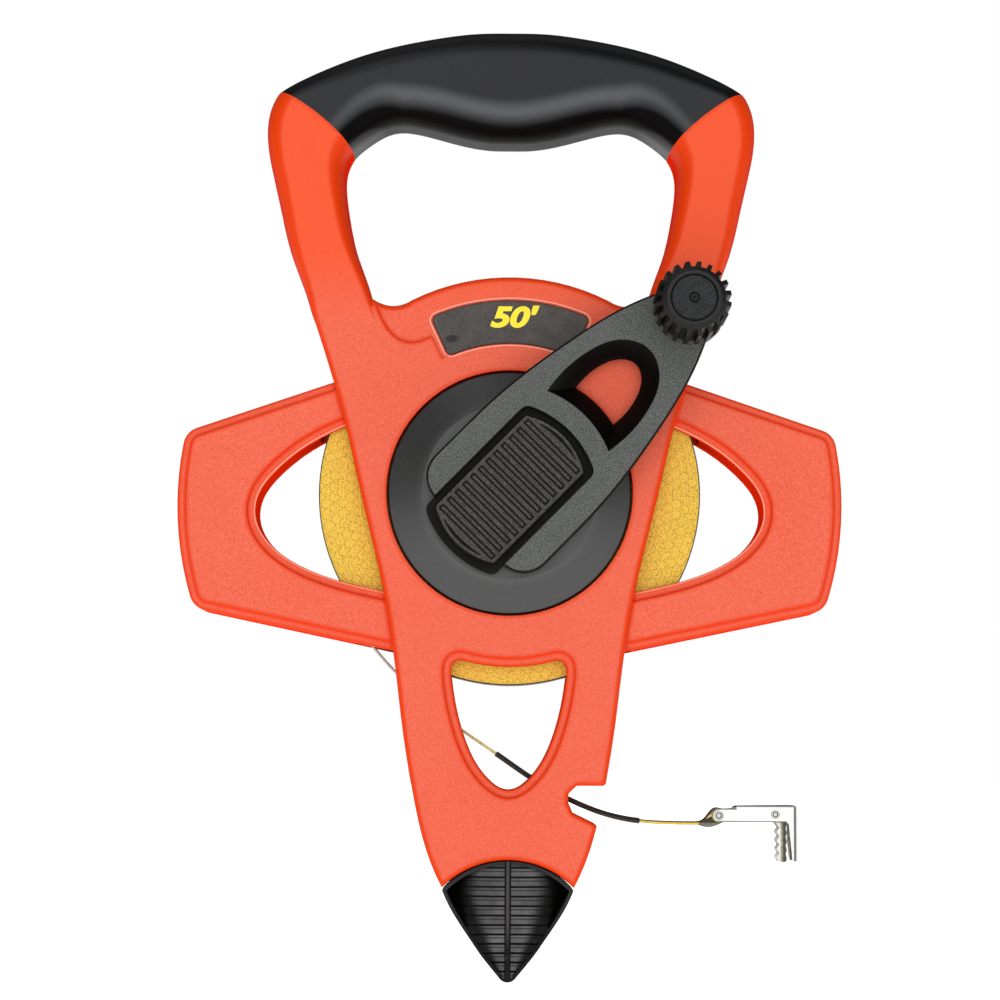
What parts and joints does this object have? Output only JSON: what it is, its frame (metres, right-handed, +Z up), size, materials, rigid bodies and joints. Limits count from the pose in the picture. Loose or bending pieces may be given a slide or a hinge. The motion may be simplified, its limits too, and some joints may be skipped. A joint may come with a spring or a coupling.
{
  "type": "surveyor tape reel",
  "caption": "Open-reel long measuring tape in an orange two-shell frame with a grip, a side crank, a ground spike and a metal end hook.",
  "frame": {"origin": "tip of the ground spike, in the frame's middle plane", "axes": "+Z up from the spike to the grip, +X to the right seen from the crank's side, the crank faces -Y"},
  "size_m": [0.1998, 0.0574, 0.2878],
  "materials": {
    "orange_shell": "satin, finely stippled",
    "grip_rubber": "soft satin",
    "spike_black": "satin gloss",
    "screw_steel": "satin",
    "label_print": "smooth print",
    "bush_plastic": "smooth",
    "dark_plastic": "fine grain",
    "tape_yellow": "satin",
    "sleeve_black": "satin",
    "loop_grey": "satin",
    "drum_plastic": "smooth",
    "axle_steel": "turned",
    "hook_nickel": "bright nickel",
    "claw_steel": "zinc plated"
  },
  "bodies": {
    "frame": {"front_frame": "orange_shell", "rear_frame": "orange_shell", "front_grip": "grip_rubber", "rear_grip": "grip_rubber", "ground_spike": "spike_black", "frame_screws": "screw_steel", "capacity_label": "label_print", "axle_bush": "bush_plastic", "rear_cap": "dark_plastic", "free_tape": "tape_yellow", "leader_sleeve": "sleeve_black", "tape_loop": "loop_grey"},
    "reel": {"reel_drum": "drum_plastic", "hub_dish": "dark_plastic", "axle": "axle_steel", "axle_clip": "screw_steel", "tape_pack": "tape_yellow", "tape_anchor": "screw_steel", "crank_arm": "dark_plastic", "crank_washer": "screw_steel", "crank_screw": "screw_steel", "crank_cover": "dark_plastic", "knob_pin": "axle_steel"},
    "knob": {"crank_knob": "dark_plastic", "knob_cap": "dark_plastic"},
    "hook": {"hook_bracket": "hook_nickel", "loop_pin": "hook_nickel", "claw_pin": "hook_nickel"},
    "claw": {"hook_claw": "claw_steel"}
  },
  "joints": [
    {"name": "reel_spin", "type": "hinge", "parent": "frame", "child": "reel", "pos_m": [0, 0, 0.146], "axis": [0, 1, 0], "continuous": true},
    {"name": "knob_spin", "type": "hinge", "parent": "reel", "child": "knob", "pos_m": [0.05341, 0, 0.20035], "axis": [0, 1, 0], "continuous": true},
    {"name": "hook_pivot", "type": "hinge", "parent": "frame", "child": "hook", "pos_m": [0.063, 0, 0.0499], "axis": [0, 1, 0], "range_deg": [-90, 90]},
    {"name": "claw_pivot", "type": "hinge", "parent": "hook", "child": "claw", "pos_m": [0.0799, 0, 0.0503], "axis": [0, 1, 0], "range_deg": [0, 75]}
  ]
}
